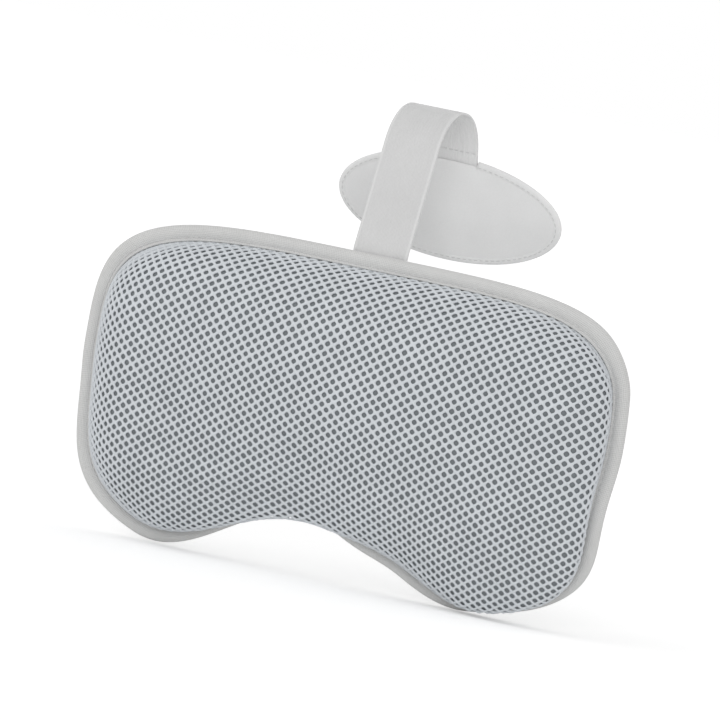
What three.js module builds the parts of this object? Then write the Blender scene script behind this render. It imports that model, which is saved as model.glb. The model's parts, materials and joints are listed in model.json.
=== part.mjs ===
// Bath pillow: a kidney-shaped cushion with an open-mesh front and a taped edge, hung over a bath
// rim by a webbing strap whose far end carries a weighted oval pouch.
// Millimetres. X runs across the pillow, -Y is its front, +Z is up.
// The origin is the middle of the strap crown's underside, where the strap lies on the rim.
import * as THREE from 'three';

// Pillow outline, from its own centre level
const PILLOW_HALF_WIDTH = 190;
const PILLOW_RISE = 95.5;
const PILLOW_DROP = 115;
const UPPER_POWER = 4.15;
const LOWER_POWER = 3.85;
const NOTCH_DEPTH = 40;
const NOTCH_HALF_WIDTH = 118;
const SIDE_DRAW = 3;
const SIDE_DRAW_LEVEL = -15;
const SIDE_DRAW_HALF_HEIGHT = 75;

// Pillow padding
const WALL_RUN = 50;
const WALL_RISE = 35;
const WALL_POWER = 1.75;
const CROWN_RISE = 6;
const LOBE_BELLY = 13;
const NOTCH_BELLY = 18;
const NOTCH_FADE = 0.5;
const BACK_STEP = 6;
const BACK_STEP_RUN = 6;

// Cloth layers and edge tape
const MESH_THICKNESS = 1.6;
const LINING_THICKNESS = 0.8;
const BACK_THICKNESS = 1.2;
const BINDING_WIDTH = 9.5;
const BINDING_TAPE = 1;
const BINDING_SEAT = 0.5;
const LAYER_GAP = 0.3;

// Strap
const STRAP_WIDTH = 38;
const STRAP_THICKNESS = 1.6;
const LOOP_RADIUS = 31;
const FRONT_RUN_LENGTH = 72;
const FRONT_SPLAY = 15;
const REAR_SPLAY = 21;
const REAR_RUN_ANGLE = 42;
const FLEX_GAP = 0.6;
const SEAM_RISE = 2;

// Counterweight pouch
const POUCH_HALF_WIDTH = 79;
const POUCH_HALF_HEIGHT = 36.5;
const POUCH_CLOTH = 0.9;
const POUCH_CROWN = 2.1;
const POUCH_TAPE = 0.6;
const POUCH_TAPE_WIDTH = 4.5;
const NECK_LENGTH = 9;
const TAB_TUCK = 10;
const PLATE_HALF_WIDTH = 56;
const PLATE_HALF_HEIGHT = 22;
const PLATE_THICKNESS = 1.8;

// Facets
const PILLOW_POINTS = 72;
const POUCH_POINTS = 40;
const NOSE_STEPS = 4;
const LENGTH_SAMPLES = 4000;
const LENGTH_SLACK = 1e-9;
const FINE_WALL = [0, 0.006, 0.06, 0.2, 0.5, 1];
const COARSE_WALL = [0, 0.006, 0.07, 0.28, 0.6, 1];
const FINE_CROWN = [0.7, 0.36];
const COARSE_CROWN = [0.5];
const POUCH_CROWN_RINGS = [0.94, 0.72, 0.4];
const ARC_SEGMENTS = 8;

const rad = THREE.MathUtils.degToRad;
const topTurn = Math.PI / 2;
const fullTurn = 2 * Math.PI;
const bell = (u) => (Math.abs(u) < 1 ? 0.5 * (1 + Math.cos(Math.PI * u)) : 0);

// Places shared by the pieces

const strapHalf = STRAP_THICKNESS / 2;
const loopMid = LOOP_RADIUS + strapHalf;
const loopCentre = new THREE.Vector2(0, -LOOP_RADIUS);
const onLoop = (degrees) => new THREE.Vector2(
  loopCentre.x + loopMid * Math.cos(rad(degrees)),
  loopCentre.y + loopMid * Math.sin(rad(degrees)),
);
const frontShoulderAngle = 180 - FRONT_SPLAY;
const pouchSeamAngle = REAR_SPLAY;
const rearShoulderAngle = REAR_SPLAY + REAR_RUN_ANGLE;
const flexTrim = strapHalf + FLEX_GAP / 2;
const flexTrimAngle = THREE.MathUtils.radToDeg(flexTrim / loopMid);

const frontShoulder = onLoop(frontShoulderAngle);
const pouchSeam = onLoop(pouchSeamAngle);
const pillowSeam = new THREE.Vector2(
  frontShoulder.x - FRONT_RUN_LENGTH * Math.sin(rad(FRONT_SPLAY)),
  frontShoulder.y - FRONT_RUN_LENGTH * Math.cos(rad(FRONT_SPLAY)),
);

// The layers lie front to back in the tape's channel, each a gap from the next
const channelDepth = MESH_THICKNESS + LINING_THICKNESS + BACK_THICKNESS + 4 * LAYER_GAP;
const bindingHalf = channelDepth / 2 + BINDING_TAPE;
const meshFlange = -channelDepth / 2 + LAYER_GAP;
const liningFlange = meshFlange + MESH_THICKNESS + LAYER_GAP;
const backFlange = liningFlange + LINING_THICKNESS + LAYER_GAP;
const flangeEdge = bindingHalf + LAYER_GAP;
const wallFoot = BINDING_WIDTH + BINDING_SEAT;
const backFace = backFlange + BACK_THICKNESS + BACK_STEP;
const tabMid = bindingHalf + LAYER_GAP + strapHalf;
const seamLevel = PILLOW_RISE + SEAM_RISE;

// Materials

const cloth = (color, roughness) => new THREE.MeshStandardMaterial({ color, roughness, metalness: 0 });
const meshKnit = cloth(0xd0d5d9, 0.85);
const liningCloth = cloth(0x7d8285, 0.95);
const paddingFoam = cloth(0xb9bcbc, 0.95);
const backCloth = cloth(0xc6c7c7, 0.9);
const tapeCloth = cloth(0xc4c4c3, 0.85);
const webbing = cloth(0xcfcfcf, 0.75);
const pouchCloth = cloth(0xd2d2d2, 0.8);
const steel = new THREE.MeshStandardMaterial({ color: 0x9a9ca0, roughness: 0.4, metalness: 1 });

// Closed skins

// Joins rings of points into a closed body, each quad split along its shorter diagonal. Poles close
// the first and last ring. Without poles the last ring joins the first, and an open sweep of such
// rings gets a flat end at each of its ends.
function skin(rings, { poles = null, openEnds = false } = {}) {
  const count = rings[0].length;
  const points = rings.flat();
  const faces = [];
  const at = (ring, i) => (ring % rings.length) * count + (i % count);
  const quad = (a, b, c, d) => {
    const straight = points[a].distanceTo(points[c]) <= points[b].distanceTo(points[d]);
    faces.push(...(straight ? [a, b, c, a, c, d] : [a, b, d, b, c, d]));
  };
  const bands = poles ? rings.length - 1 : rings.length;
  const steps = openEnds ? count - 1 : count;
  for (let ring = 0; ring < bands; ring += 1) {
    for (let i = 0; i < steps; i += 1) {
      quad(at(ring, i), at(ring + 1, i), at(ring + 1, i + 1), at(ring, i + 1));
    }
  }
  if (poles) {
    const [first, last] = [points.length, points.length + 1];
    points.push(...poles);
    for (let i = 0; i < count; i += 1) {
      faces.push(first, at(0, i), at(0, i + 1));
      faces.push(last, at(rings.length - 1, i + 1), at(rings.length - 1, i));
    }
  }
  if (openEnds) {
    for (let ring = 0; ring < rings.length / 2 - 1; ring += 1) {
      const [near, far] = [ring, rings.length - 1 - ring];
      quad(at(near, 0), at(far, 0), at(far - 1, 0), at(near + 1, 0));
      const end = count - 1;
      quad(at(near, end), at(near + 1, end), at(far - 1, end), at(far, end));
    }
  }
  const geometry = new THREE.BufferGeometry();
  geometry.setAttribute('position', new THREE.Float32BufferAttribute(
    points.flatMap((point) => point.toArray()), 3));
  geometry.setIndex(faces);
  geometry.computeVertexNormals();
  return geometry;
}

// A point of the pillow's outline, drawn in from the edge by inset, with a share of the notch
function pillowOutline(turn, inset, notchShare = 1) {
  const upper = Math.sin(turn) >= 0;
  const exponent = 2 / (upper ? UPPER_POWER : LOWER_POWER);
  const power = (value) => Math.sign(value) * Math.abs(value) ** exponent;
  const x = (PILLOW_HALF_WIDTH - inset) * power(Math.cos(turn));
  const z = ((upper ? PILLOW_RISE : PILLOW_DROP) - inset) * power(Math.sin(turn));
  const side = x / PILLOW_HALF_WIDTH;
  const draw = SIDE_DRAW * side * bell((z - SIDE_DRAW_LEVEL) / SIDE_DRAW_HALF_HEIGHT);
  const notch = upper ? 0 : notchShare * NOTCH_DEPTH * bell(x / NOTCH_HALF_WIDTH);
  return new THREE.Vector2(x - draw, z + notch);
}

const pouchOutline = (turn, inset) => new THREE.Vector2(
  (POUCH_HALF_WIDTH - inset) * Math.cos(turn),
  (POUCH_HALF_HEIGHT - inset) * Math.sin(turn),
);

// Turns that space an outline's points evenly along it, from one turn to another
function evenTurns(outline, from, to, count, closed) {
  const turns = [];
  const lengths = [0];
  for (let i = 0; i <= LENGTH_SAMPLES; i += 1) {
    turns.push(from + (to - from) * i / LENGTH_SAMPLES);
    if (i > 0) {
      const step = outline(turns[i], 0).distanceTo(outline(turns[i - 1], 0));
      lengths.push(lengths[i - 1] + step);
    }
  }
  const total = lengths[LENGTH_SAMPLES];
  const spaces = closed ? count : count - 1;
  return Array.from({ length: count }, (_, k) => {
    const wanted = total * k / spaces - LENGTH_SLACK;
    return turns[lengths.findIndex((length) => length >= wanted)];
  });
}

const pillowTurns = evenTurns(pillowOutline, topTurn, topTurn + fullTurn, PILLOW_POINTS, true);
const pouchTurns = evenTurns(pouchOutline, topTurn, topTurn + fullTurn, POUCH_POINTS, true);

// Tape folded over an edge: front leaf, round nose and back leaf outside, then the same inside
function tapeSection(half, tape, width) {
  const leaf = (radius) => {
    const nose = Array.from({ length: NOSE_STEPS + 1 }, (_, k) => {
      const angle = Math.PI * (k / NOSE_STEPS - 0.5);
      return { inset: half - radius * Math.cos(angle), y: radius * Math.sin(angle) };
    });
    return [{ inset: width, y: -radius }, ...nose, { inset: width, y: radius }];
  };
  return [...leaf(half), ...leaf(half - tape).reverse()];
}

const tapeRings = (section, outline, turns) => section.map(({ inset, y }) => turns.map((turn) => {
  const point = outline(turn, inset);
  return new THREE.Vector3(point.x, y, point.y);
}));

// Padded front of the pillow

// Rings of the front's outer face, from the foot of its wall to the crown: how far each lies in from
// the edge, how far it is then shrunk to the middle, how much of the notch it keeps, how high it
// stands and how far it bellies down
function frontProfile(wallShares, crownScales) {
  const wall = wallShares.map((share) => {
    const lift = (1 - (1 - share) ** WALL_POWER) ** (1 / WALL_POWER);
    return {
      inset: wallFoot + WALL_RUN * share,
      scale: 1,
      notch: 1 - NOTCH_FADE * lift ** 2,
      height: WALL_RISE * lift,
      belly: Math.sin(Math.PI * Math.min(1, lift)) ** 2,
    };
  });
  const top = wall[wall.length - 1];
  const crown = crownScales.map((scale) => ({
    inset: top.inset,
    scale,
    notch: top.notch * scale,
    height: WALL_RISE + CROWN_RISE * (1 - scale ** 2) ** 2,
    belly: 0,
  }));
  return [...wall, ...crown];
}

function frontRing({ inset, scale, notch, height, belly }) {
  return pillowTurns.map((turn) => {
    const point = pillowOutline(turn, inset, notch);
    const low = Math.max(0, -Math.sin(turn));
    const hang = LOBE_BELLY + (NOTCH_BELLY - LOBE_BELLY) * bell(point.x / NOTCH_HALF_WIDTH);
    return new THREE.Vector3(
      point.x * scale,
      meshFlange - height,
      point.y * scale - hang * low * belly,
    );
  });
}

const flatRing = (inset, y) => pillowTurns.map((turn) => {
  const point = pillowOutline(turn, inset);
  return new THREE.Vector3(point.x, y, point.y);
});
const pole = (y) => new THREE.Vector3(0, y, 0);

const fineFront = frontProfile(FINE_WALL, FINE_CROWN);
const coarseFront = frontProfile(COARSE_WALL, COARSE_CROWN);
const crownHeight = WALL_RISE + CROWN_RISE;

// The rings of a profile moved inwards, square to the face, by a depth
function sunkRings(profile, depth) {
  const rings = profile.map(frontRing);
  const top = pole(meshFlange - crownHeight);
  return rings.map((ring, row) => ring.map((point, i) => {
    const below = row > 0 ? rings[row - 1][i] : point;
    const above = row + 1 < rings.length ? rings[row + 1][i] : top;
    const around = ring[(i + 1) % ring.length].clone().sub(ring.at(i - 1));
    const inward = above.clone().sub(below).cross(around).normalize();
    return point.clone().addScaledVector(inward, depth);
  }));
}

// Rings of one face of a front layer, from the crown down to the plane of its flange
function layerFace(profile, depth, flange) {
  const wall = sunkRings(profile, depth).slice(1).reverse();
  return [...wall, flatRing(wallFoot + depth, flange)];
}

// A front layer: dome, then the flange that the edge tape holds
function frontLayer(profile, depth, thickness, flange) {
  const inner = depth + thickness;
  const outerFace = layerFace(profile, depth, flange);
  const innerFace = layerFace(coarseFront, inner, flange + thickness).reverse();
  const edge = [flatRing(flangeEdge, flange), flatRing(flangeEdge, flange + thickness)];
  const poles = [pole(meshFlange - crownHeight + depth), pole(meshFlange - crownHeight + inner)];
  return skin([...outerFace, ...edge, ...innerFace], { poles });
}

const liningDepth = MESH_THICKNESS + LAYER_GAP;
const coreDepth = liningDepth + LINING_THICKNESS + LAYER_GAP;

const meshGeometry = () => frontLayer(fineFront, 0, MESH_THICKNESS, meshFlange);
const liningGeometry = () => frontLayer(coarseFront, liningDepth, LINING_THICKNESS, liningFlange);

// Flat back, stepped out behind the taped edge so that it is the hindmost face
function backGeometry() {
  const step = wallFoot + BACK_STEP_RUN;
  const inside = backFace - BACK_THICKNESS;
  const rings = [
    flatRing(step + BACK_THICKNESS, inside),
    flatRing(wallFoot + BACK_THICKNESS, backFlange),
    flatRing(flangeEdge, backFlange),
    flatRing(flangeEdge, backFlange + BACK_THICKNESS),
    flatRing(wallFoot, backFlange + BACK_THICKNESS),
    flatRing(step, backFace),
  ];
  return skin(rings, { poles: [pole(inside), pole(backFace)] });
}

// Padding that fills the cover
function coreGeometry() {
  const foot = wallFoot + coreDepth;
  const rear = backFace - BACK_THICKNESS - LAYER_GAP;
  const rings = [
    ...layerFace(coarseFront, coreDepth, backFlange),
    flatRing(foot + BACK_THICKNESS, backFlange + BACK_THICKNESS),
    flatRing(foot + BACK_STEP_RUN, rear),
  ];
  return skin(rings, { poles: [pole(meshFlange - crownHeight + coreDepth), pole(rear)] });
}

const bindingGeometry = () => skin(
  tapeRings(tapeSection(bindingHalf, BINDING_TAPE, BINDING_WIDTH), pillowOutline, pillowTurns));

// Strap

// Turns a shape drawn in Y and Z into a band as wide as the strap
function band(shape) {
  const geometry = new THREE.ExtrudeGeometry(shape, {
    depth: STRAP_WIDTH,
    bevelEnabled: false,
    curveSegments: ARC_SEGMENTS,
  });
  geometry.translate(0, 0, -STRAP_WIDTH / 2);
  geometry.applyMatrix4(new THREE.Matrix4().makeBasis(
    new THREE.Vector3(0, 1, 0), new THREE.Vector3(0, 0, 1), new THREE.Vector3(1, 0, 0)));
  return geometry;
}

// A stretch of the loop between two flex lines, round at both ends
function loopBand(fromAngle, toAngle) {
  const from = rad(fromAngle + flexTrimAngle);
  const to = rad(toAngle - flexTrimAngle);
  const end = (angle) => [loopMid * Math.cos(angle), loopCentre.y + loopMid * Math.sin(angle)];
  const shape = new THREE.Shape();
  shape.absarc(loopCentre.x, loopCentre.y, loopMid + strapHalf, from, to, false);
  shape.absarc(...end(to), strapHalf, to, to + Math.PI, false);
  shape.absarc(loopCentre.x, loopCentre.y, loopMid - strapHalf, to, from, true);
  shape.absarc(...end(from), strapHalf, from + Math.PI, from + fullTurn, false);
  return band(shape);
}

// A straight stretch that hangs from a flex line at its origin, with a round or a cut lower end
function straightBand(length, roundFoot) {
  const shape = new THREE.Shape();
  shape.absarc(0, -flexTrim, strapHalf, 0, Math.PI, false);
  if (roundFoot) {
    shape.absarc(0, flexTrim - length, strapHalf, Math.PI, fullTurn, false);
  } else {
    shape.lineTo(-strapHalf, -length);
    shape.lineTo(strapHalf, -length);
  }
  return band(shape);
}

// Counterweight pouch, hung from its seam with the neck of the strap above it

const pouchGap = PLATE_THICKNESS + 2 * LAYER_GAP;
const pouchTapeHalf = pouchGap / 2 + POUCH_CLOTH + LAYER_GAP + POUCH_TAPE;
const pouchFlangeEdge = pouchTapeHalf + LAYER_GAP;

const pouchRing = (inset, scale, y) => pouchTurns.map((turn) => {
  const point = pouchOutline(turn, inset).multiplyScalar(scale);
  return new THREE.Vector3(point.x, y, point.y);
});

// One side of the pouch: flat inside, crowned outside within the edge tape
function pouchPanel() {
  const inside = -pouchGap / 2;
  const face = inside - POUCH_CLOTH;
  const crownFoot = POUCH_TAPE_WIDTH + BINDING_SEAT;
  const swell = (scale) => face - POUCH_CROWN * Math.sqrt(1 - scale ** 2);
  const rings = [
    ...[...POUCH_CROWN_RINGS].reverse().map((scale) => pouchRing(crownFoot, scale, swell(scale))),
    pouchRing(crownFoot, 1, face),
    pouchRing(pouchFlangeEdge, 1, face),
    pouchRing(pouchFlangeEdge, 1, inside),
  ];
  return skin(rings, { poles: [pole(face - POUCH_CROWN), pole(inside)] });
}

// Edge tape of the pouch, open at the top where the strap goes in
function pouchTapeGeometry() {
  const neckTurn = Math.acos((STRAP_WIDTH / 2 + LAYER_GAP) / (POUCH_HALF_WIDTH - POUCH_TAPE_WIDTH));
  const turns = evenTurns(pouchOutline, Math.PI - neckTurn, fullTurn + neckTurn, POUCH_POINTS, false);
  const section = tapeSection(pouchTapeHalf, POUCH_TAPE, POUCH_TAPE_WIDTH);
  return skin(tapeRings(section, pouchOutline, turns), { openEnds: true });
}

function plateGeometry() {
  const shape = new THREE.Shape();
  shape.absellipse(0, 0, PLATE_HALF_WIDTH, PLATE_HALF_HEIGHT, 0, fullTurn, false, 0);
  const geometry = new THREE.ExtrudeGeometry(shape, {
    depth: PLATE_THICKNESS,
    bevelEnabled: false,
    curveSegments: POUCH_POINTS / 2,
  });
  geometry.translate(0, 0, -PLATE_THICKNESS / 2);
  return geometry.rotateX(Math.PI / 2);
}

// Assembly

function piece(name, geometry, material) {
  const mesh = new THREE.Mesh(geometry, material);
  mesh.name = name;
  return mesh;
}

function hung(mesh, place, lean) {
  mesh.position.set(0, place.x, place.y);
  mesh.rotation.x = rad(lean);
  return mesh;
}

const pillow = new THREE.Group();
pillow.position.set(0, pillowSeam.x - tabMid, pillowSeam.y - seamLevel);
const anchorLength = SEAM_RISE + BINDING_WIDTH;
const anchor = piece('strap_anchor_tab', straightBand(anchorLength, false), webbing);
anchor.position.set(0, tabMid, seamLevel);
pillow.add(
  piece('front_mesh_panel', meshGeometry(), meshKnit),
  piece('front_lining', liningGeometry(), liningCloth),
  piece('padding_core', coreGeometry(), paddingFoam),
  piece('back_panel', backGeometry(), backCloth),
  piece('edge_binding', bindingGeometry(), tapeCloth),
  anchor,
);

const pouch = new THREE.Group();
pouch.position.set(0, pouchSeam.x, pouchSeam.y);
pouch.rotation.x = rad(REAR_SPLAY);
const pouchBody = new THREE.Group();
pouchBody.position.z = -NECK_LENGTH - POUCH_HALF_HEIGHT;
const backPanel = piece('pouch_back_panel', pouchPanel(), pouchCloth);
backPanel.rotation.z = Math.PI;
pouchBody.add(
  piece('pouch_front_panel', pouchPanel(), pouchCloth),
  backPanel,
  piece('pouch_edge_tape', pouchTapeGeometry(), tapeCloth),
  piece('counterweight_plate', plateGeometry(), steel),
);
pouch.add(piece('strap_pouch_tab', straightBand(NECK_LENGTH + TAB_TUCK, false), webbing), pouchBody);

const bathPillow = new THREE.Group();
bathPillow.add(
  piece('strap_crown', loopBand(rearShoulderAngle, frontShoulderAngle), webbing),
  piece('strap_rear_run', loopBand(pouchSeamAngle, rearShoulderAngle), webbing),
  hung(piece('strap_front_run', straightBand(FRONT_RUN_LENGTH, true), webbing), frontShoulder, -FRONT_SPLAY),
  pillow,
  pouch,
);

export default bathPillow;
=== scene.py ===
"""Looks of the bath pillow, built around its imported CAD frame.

Lengths are in millimetres here and become metres where a mesh is made. The pillow's own
coordinates have their origin at its datum: x across, y to the back, z up.
"""
import json
import math

import bmesh
import bpy
import numpy as np
from mathutils import Matrix, Vector
from mathutils.bvhtree import BVHTree


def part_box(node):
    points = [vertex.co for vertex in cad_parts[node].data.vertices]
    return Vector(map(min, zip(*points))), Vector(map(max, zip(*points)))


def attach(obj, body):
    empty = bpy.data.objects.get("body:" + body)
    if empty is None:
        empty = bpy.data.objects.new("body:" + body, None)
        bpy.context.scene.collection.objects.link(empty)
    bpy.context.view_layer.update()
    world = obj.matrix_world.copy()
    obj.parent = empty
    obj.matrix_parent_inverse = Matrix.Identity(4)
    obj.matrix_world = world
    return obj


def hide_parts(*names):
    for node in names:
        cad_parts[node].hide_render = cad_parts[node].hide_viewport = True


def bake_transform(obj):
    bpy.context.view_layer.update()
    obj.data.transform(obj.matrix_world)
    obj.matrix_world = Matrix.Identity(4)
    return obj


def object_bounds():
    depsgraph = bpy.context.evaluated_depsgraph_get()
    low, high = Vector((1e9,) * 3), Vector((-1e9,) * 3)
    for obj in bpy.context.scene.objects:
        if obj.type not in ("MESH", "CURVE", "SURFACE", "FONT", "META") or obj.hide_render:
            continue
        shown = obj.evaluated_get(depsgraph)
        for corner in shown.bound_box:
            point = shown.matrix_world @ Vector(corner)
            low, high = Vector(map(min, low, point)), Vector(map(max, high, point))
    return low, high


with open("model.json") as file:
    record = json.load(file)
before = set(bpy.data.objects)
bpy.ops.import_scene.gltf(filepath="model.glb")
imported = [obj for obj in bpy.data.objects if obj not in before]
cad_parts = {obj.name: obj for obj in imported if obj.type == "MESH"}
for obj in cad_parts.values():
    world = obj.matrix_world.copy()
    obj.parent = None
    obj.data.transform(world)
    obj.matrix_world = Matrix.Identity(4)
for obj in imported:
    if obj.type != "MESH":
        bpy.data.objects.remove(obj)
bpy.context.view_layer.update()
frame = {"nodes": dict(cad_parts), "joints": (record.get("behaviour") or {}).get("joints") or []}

MM = 0.001
TINY = 1e-9
X_AXIS = np.array([1, 0, 0])

# Seeds of the random draws
SEED = 11
WOBBLE_SEEDS = (SEED, SEED + 1)
GATHER_SEEDS = (SEED + 7, SEED + 8)
BINDING_SEED = SEED + 2
POUCH_SEED = SEED + 5

# Smooth wander: its waves, their pitch from and to, and its gain
NOISE_WAVES = 6
NOISE_PITCHES = (0.6, 1.5)
NOISE_GAIN = 1.6

# Pillow outline
HALF_WIDTH = 190
RISE = 95.5
DROP = 115
UPPER_POWER = 4.15
LOWER_POWER = 3.85
NOTCH_DEPTH = 40
NOTCH_HALF_WIDTH = 118
NOTCH_SHIFT = -15
# Where the lower edge sags, as (place, half width, sag)
LOWER_SAGS = ((-104, 70, 3.8), (17, 38, 5))
# Where the sides are drawn in, as (side, level, half height, draw)
SIDE_DRAWS = (
    (-1, -68, 40, 2), (-1, -34, 40, 2.5),
    (1, -15, 75, 3), (1, 72, 32, 3.5), (1, -42, 45, 4), (1, 45, 45, 2.5),
)

# Padded front, a little slack before it is blown up
FOOT_INSET = 11.8
FOOT_DEPTH = 2.1
WALL_RISE = 31.5
CROWN_RISE = 6
# Its rolled edge, as (distance in from the edge where the roll ends, squareness), by side
ROLL = (60, 1.75)
LEFT_ROLL = (40, 3.0)
HEAD_ROLL = (46, 1.6)
LEFT_BELLY = 4.5
RIGHT_BELLY = 20
RIGHT_PUSH = 5
CORNER_PUSH = 10
NOTCH_BELLY = 17
# Where less of it hangs over, as (place, half width, loss)
BELLY_LOSSES = ((55, 55, 8), (17, 38, 5))
NOTCH_FADE = 0.5
SLUMP = 0.34
SWELL_LIMIT = 5
SWELL_FRAMES = 20
SWELL_EASING = 30
SWELL_CLOTH = {
    "quality": 6, "mass": 0.2, "tension_stiffness": 18, "compression_stiffness": 18, "shear_stiffness": 8,
    "bending_stiffness": 1.5, "use_pressure": True, "uniform_pressure_force": 4,
}
BACK_DEPTH = 6.4
# The pad's back, as (distance in from the edge, depth), and where its flat middle starts
PAD_BACK_STEPS = ((FOOT_INSET, 0.8), (FOOT_INSET + 2.5, 4.2), (19, BACK_DEPTH))
PAD_BACK_INSET = 24
TURN_SAMPLES = 8000
OUTLINE_POINTS = 176
CROWN_ROWS = 13
WALL_ROWS = 17

# Open mesh: holes in staggered rows
HOLE_STEP_ACROSS = 7.45
HOLE_STEP_UP = 6.1
HOLE_FLAT = 1.73
HOLE_CORNER = 1.9
HOLE_VARIATION = 0.03
HOLE_VARIATION_LIMIT = 2
# Border points of a cell, in half steps from its hole
CELL_CORNERS = np.array([
    (1, 0), (0.5, 0.5), (0, 1), (-0.5, 0.5), (-1, 0), (-0.5, -0.5), (0, -1), (0.5, -0.5),
])
SEAM_BAND = 7
SEAM_SHARPNESS = 1.5
SEAM_SQUEEZE = 0.3
GATHER = 1.3
GATHER_SIZES = (11, 11)
# How fast the gathers grow towards a corner, and where they start
CORNER_GROWTH = 2.2
CORNER_START = 0.6
LATTICE_MARGIN = 1.15
STEP_GROWTH = 0.0009
LATTICE_TURN = math.radians(-2)
STRAND_CREST = 0.45
KNOT_CREST = 0.55
STRAND_SHOULDER = 0.32
SHOULDER_PLACE = 0.45
STRAND_LIP = 0.7
STAND_OFF = 1.35
MESH_WOBBLE = 0.22
WOBBLE_SIZES = (23, 19)
FLANGE_ROWS = ((9.6, -1.6), (7.0, -1.4))

# Edge binding: a folded tape, as (distance in from the edge, depth)
BINDING_SECTION = (
    (9.6, -2.5), (10.0, -2.9), (9.8, -3.3), (9.2, -3.45), (8.6, -3.2), (8.2, -2.8), (7.6, -3.1),
    (6.6, -3.5), (5.0, -3.75), (3.4, -3.65), (2.0, -3.15), (0.8, -2.1), (0.15, -0.9), (0.0, 0.5),
    (0.5, 2.2), (1.8, 3.3), (3.6, 3.5), (5.6, 3.45), (6.9, 3.25), (7.7, 2.95),
    (8.6, 3.3), (9.5, 3.3), (9.9, 2.9), (9.6, 2.5), (7.0, 2.45), (4.0, 2.45),
    (2.2, 1.9), (1.4, 0.0), (2.2, -1.9), (4.0, -2.45), (7.0, -2.45),
)
BINDING_WIDTH = 10
BINDING_POINTS = 320
SECTION_FINENESS = 3
BINDING_STITCH_INSET = 7.7
BINDING_STITCH_DEPTH = 3.0
BINDING_WAVE = 0.25
BINDING_WAVE_SIZE = 60

# Back cloth, as (distance in from the edge, depth) from the binding to its flat middle
BACK_STEPS = ((6.5, 1.5), (9.6, 1.6), (11.0, 2.2), (12.8, 4.6), (15.0, 6.9), (18.0, 7.9), (23.0, 8.1))
BACK_SCALES = (0.9, 0.75, 0.55, 0.35, 0.15)

# Strap
STRAP_HALF_WIDTH = 19
STRAP_HALF_THICKNESS = 0.8
# Its rounded edge, as (distance in, height), and the bead beside it
STRAP_SIDE = ((0.1, 0.45), (0.0, 0.0), (0.1, -0.45))
STRAP_EDGE = 0.5
BEAD_HEIGHT = 0.12
BEAD_HALF_WIDTH = 1.2
STRAP_RIB_STEP = 1.9
STRAP_RIB_HEIGHT = 0.11
STRAP_POINTS = 80
STRAP_STEP = 1.5
TAB_LENGTH = 11.5
NECK_LENGTH = 9
# Half the length over which it bends at each joint
TAB_TUCK = 10
LOOP_MID_RADIUS = 31.8
LOOP_CENTRE_Z = -31
ARC_POINTS = 24
BEND_ROUNDING = 6
BEND_STEP = 0.5

# Pouch
POUCH_HALF_WIDTH = 79
POUCH_HALF_HEIGHT = 36.5
POUCH_POINTS = 120
# Panel rings near its edge, as (distance in, height), and its crown
POUCH_EDGE_RINGS = ((3.4, 1.5), (4.4, 1.75), (5.6, 1.98), (7.5, 2.2), (11.0, 2.5))
POUCH_CROWN = 1.5
POUCH_ROWS = (0.93, 0.85, 0.74, 0.6, 0.45, 0.3, 0.15)
POUCH_TAPE_SECTION = (
    (4.6, 1.75), (4.8, 1.88), (4.3, 2.02), (3.2, 2.05), (2.0, 1.85), (0.9, 1.35), (0.2, 0.6),
    (0.2, -0.6), (0.9, -1.35), (2.0, -1.85), (3.2, -2.05), (4.3, -2.02), (4.8, -1.88), (4.6, -1.75),
    (3.4, -1.6), (2.0, -1.3), (1.3, 0.0), (2.0, 1.3), (3.4, 1.6),
)
POUCH_TAPE_OPENING = 20
POUCH_TAPE_POINTS = 200
POUCH_TURN_SAMPLES = 4000
POUCH_STITCH_INSET = 3.3
POUCH_STITCH_HEIGHT = 2.0
POUCH_WANDER = 0.25
POUCH_WANDER_SIZE = 34

# Thread
STITCH_PITCH = 4.0
STITCH_LENGTH = 3.1
STITCH_RADIUS = 0.3
# A stitch's rings, as (place along it, share of its radius, rise)
STITCH_STATIONS = (
    (-0.5, 0.3, -0.5), (-0.3, 0.9, 0.2), (0.0, 1.0, 0.45), (0.3, 0.9, 0.2), (0.5, 0.3, -0.5),
)
STITCH_SIDES = 6
STITCH_LINE_POINTS = 20
STITCH_EDGE_GAP = 1
TAB_STITCH_DROPS = (2.5, 8.5)
NECK_STITCH_DROP = 5

# Colours, as seen on a screen
MESH_COLOUR = (209, 213, 217)
LINING_COLOUR = (128, 133, 136)
TAPE_COLOUR = (206, 206, 205)
BACK_COLOUR = (204, 206, 206)
WEBBING_COLOUR = (206, 206, 206)
# The strap's inner face: the webbing's own colour painted lighter, as painted light against the shade inside
# the loop
PAINTED_LIGHT_WEBBING_COLOUR = (222, 222, 222)
SELVEDGE_COLOUR = (214, 214, 214)
# The pouch's own light grey, painted lighter as painted light against the shade it hangs in behind the
# pillow
POUCH_COLOUR_WITH_PAINTED_LIGHT = (227, 227, 227)
THREAD_COLOUR = (204, 204, 204)
STEEL_COLOUR = (154, 156, 160)
FLOOR_COLOUR = (250, 250, 250)
WHITE = (1, 1, 1, 1)

# Cloth: threads, grain, slow changes of shade at random, and painted shade darkening the valleys between
# threads
WAVE_RADIANS = 20
THREAD_WANDER = 0.4
THREAD_DETAIL = 1
THREAD_HEIGHT = 0.15
GRAIN_SCALE = 900
GRAIN_DETAIL = 3
GRAIN_SHARE = 1.2
BLOTCH_SCALE = 38
BLOTCH_DETAIL = 4
BLOTCH_SHADES = (0.93, 1.05)
PAINTED_SHADE_VALLEY_RANGE = (0.4, 2.0)
SHEEN_ROUGHNESS = 0.5
CLOTH_SPECULAR = 0.2
SELVEDGE_BAND = (2.2, 1.4)

# Steel: streaks along the rolled sheet
STREAK_STRETCH = (30, 900, 900)
STREAK_SCALE = 2
STREAK_DETAIL = 4
STREAK_SHADES = (0.8, 1.1)
STREAK_ROUGHNESS = (0.3, 0.5)

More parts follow.
